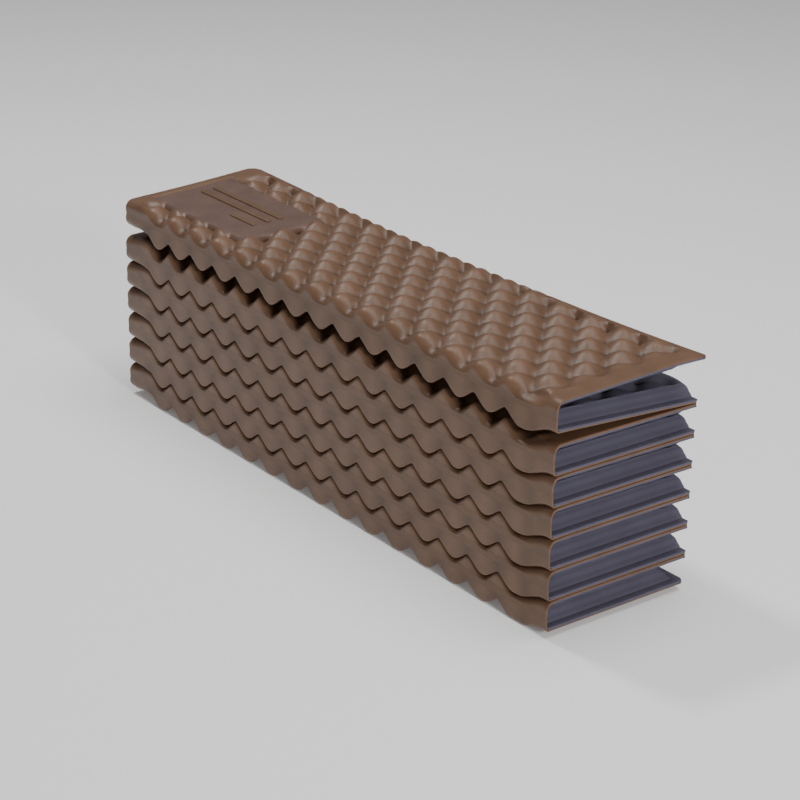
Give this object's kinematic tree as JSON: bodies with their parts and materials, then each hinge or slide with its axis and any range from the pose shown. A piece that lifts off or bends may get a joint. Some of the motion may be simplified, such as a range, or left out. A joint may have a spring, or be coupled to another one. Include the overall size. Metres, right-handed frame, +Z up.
{
  "type": "folding foam sleeping pad",
  "caption": "Closed-cell foam sleeping pad, accordion folded into a rectangular stack, with moulded egg-crate bumps and living hinges along alternate long edges.",
  "frame": {"origin": "centre of the base of the folded stack", "axes": "+X along the folds, away from the label panel; -Y towards the front folds; +Z up through the stack"},
  "size_m": [0.56, 0.1332, 0.1851],
  "materials": {
    "outer_foam": "satin closed-cell foam, brown",
    "inner_foam": "matte closed-cell foam, slate"
  },
  "bodies": {
    "panel_01": {"panel_01_outer_foam": "outer_foam", "panel_01_inner_foam": "inner_foam"},
    "panel_02": {"panel_02_outer_foam": "outer_foam", "panel_02_inner_foam": "inner_foam", "fold_01_web": "outer_foam"},
    "panel_03": {"panel_03_outer_foam": "outer_foam", "panel_03_inner_foam": "inner_foam", "fold_02_web": "inner_foam"},
    "panel_04": {"panel_04_outer_foam": "outer_foam", "panel_04_inner_foam": "inner_foam", "fold_03_web": "outer_foam"},
    "panel_05": {"panel_05_outer_foam": "outer_foam", "panel_05_inner_foam": "inner_foam", "fold_04_web": "inner_foam"},
    "panel_06": {"panel_06_outer_foam": "outer_foam", "panel_06_inner_foam": "inner_foam", "fold_05_web": "outer_foam"},
    "panel_07": {"panel_07_outer_foam": "outer_foam", "panel_07_inner_foam": "inner_foam", "fold_06_web": "inner_foam"},
    "panel_08": {"panel_08_outer_foam": "outer_foam", "panel_08_inner_foam": "inner_foam", "fold_07_web": "outer_foam"},
    "panel_09": {"panel_09_outer_foam": "outer_foam", "panel_09_inner_foam": "inner_foam", "fold_08_web": "inner_foam"},
    "panel_10": {"panel_10_outer_foam": "outer_foam", "panel_10_inner_foam": "inner_foam", "fold_09_web": "outer_foam"},
    "panel_11": {"panel_11_outer_foam": "outer_foam", "panel_11_inner_foam": "inner_foam", "fold_10_web": "inner_foam"},
    "panel_12": {"panel_12_outer_foam": "outer_foam", "panel_12_inner_foam": "inner_foam", "fold_11_web": "outer_foam"},
    "panel_13": {"panel_13_outer_foam": "outer_foam", "panel_13_inner_foam": "inner_foam", "fold_12_web": "inner_foam"},
    "panel_14": {"panel_14_outer_foam": "outer_foam", "panel_14_inner_foam": "inner_foam", "fold_13_web": "outer_foam"}
  },
  "joints": [
    {"name": "fold_13", "type": "hinge", "parent": "panel_14", "child": "panel_13", "pos_m": [0, -0.0664, 0.01675], "axis": [1, 0, 0], "range_deg": [0, 179], "deforming": ["fold_13_web"]},
    {"name": "fold_12", "type": "hinge", "parent": "panel_13", "child": "panel_12", "pos_m": [0, 0.0664, 0.0285], "axis": [-1, 0, 0], "range_deg": [0, 179], "deforming": ["fold_12_web"]},
    {"name": "fold_11", "type": "hinge", "parent": "panel_12", "child": "panel_11", "pos_m": [0, -0.0664, 0.04025], "axis": [1, 0, 0], "range_deg": [0, 179], "deforming": ["fold_11_web"]},
    {"name": "fold_10", "type": "hinge", "parent": "panel_11", "child": "panel_10", "pos_m": [0, 0.0664, 0.052], "axis": [-1, 0, 0], "range_deg": [0, 179], "deforming": ["fold_10_web"]},
    {"name": "fold_09", "type": "hinge", "parent": "panel_10", "child": "panel_09", "pos_m": [0, -0.0664, 0.06375], "axis": [1, 0, 0], "range_deg": [0, 179], "deforming": ["fold_09_web"]},
    {"name": "fold_08", "type": "hinge", "parent": "panel_09", "child": "panel_08", "pos_m": [0, 0.0664, 0.0755], "axis": [-1, 0, 0], "range_deg": [0, 179], "deforming": ["fold_08_web"]},
    {"name": "fold_07", "type": "hinge", "parent": "panel_08", "child": "panel_07", "pos_m": [0, -0.0664, 0.08725], "axis": [1, 0, 0], "range_deg": [0, 179], "deforming": ["fold_07_web"]},
    {"name": "fold_06", "type": "hinge", "parent": "panel_07", "child": "panel_06", "pos_m": [0, 0.0664, 0.099], "axis": [-1, 0, 0], "range_deg": [0, 179], "deforming": ["fold_06_web"]},
    {"name": "fold_05", "type": "hinge", "parent": "panel_06", "child": "panel_05", "pos_m": [0, -0.0664, 0.11075], "axis": [1, 0, 0], "range_deg": [0, 179], "deforming": ["fold_05_web"]},
    {"name": "fold_04", "type": "hinge", "parent": "panel_05", "child": "panel_04", "pos_m": [0, 0.0664, 0.1225], "axis": [-1, 0, 0], "range_deg": [0, 179], "deforming": ["fold_04_web"]},
    {"name": "fold_03", "type": "hinge", "parent": "panel_04", "child": "panel_03", "pos_m": [0, -0.0664, 0.13425], "axis": [1, 0, 0], "range_deg": [0, 179], "deforming": ["fold_03_web"]},
    {"name": "fold_02", "type": "hinge", "parent": "panel_03", "child": "panel_02", "pos_m": [0, 0.0664, 0.146], "axis": [-1, 0, 0], "range_deg": [-3.4, 175.6], "deforming": ["fold_02_web"]},
    {"name": "fold_01", "type": "hinge", "parent": "panel_02", "child": "panel_01", "pos_m": [0, -0.06547, 0.16561], "axis": [1, 0, 0], "range_deg": [-4.6, 174.4], "deforming": ["fold_01_web"]}
  ]
}
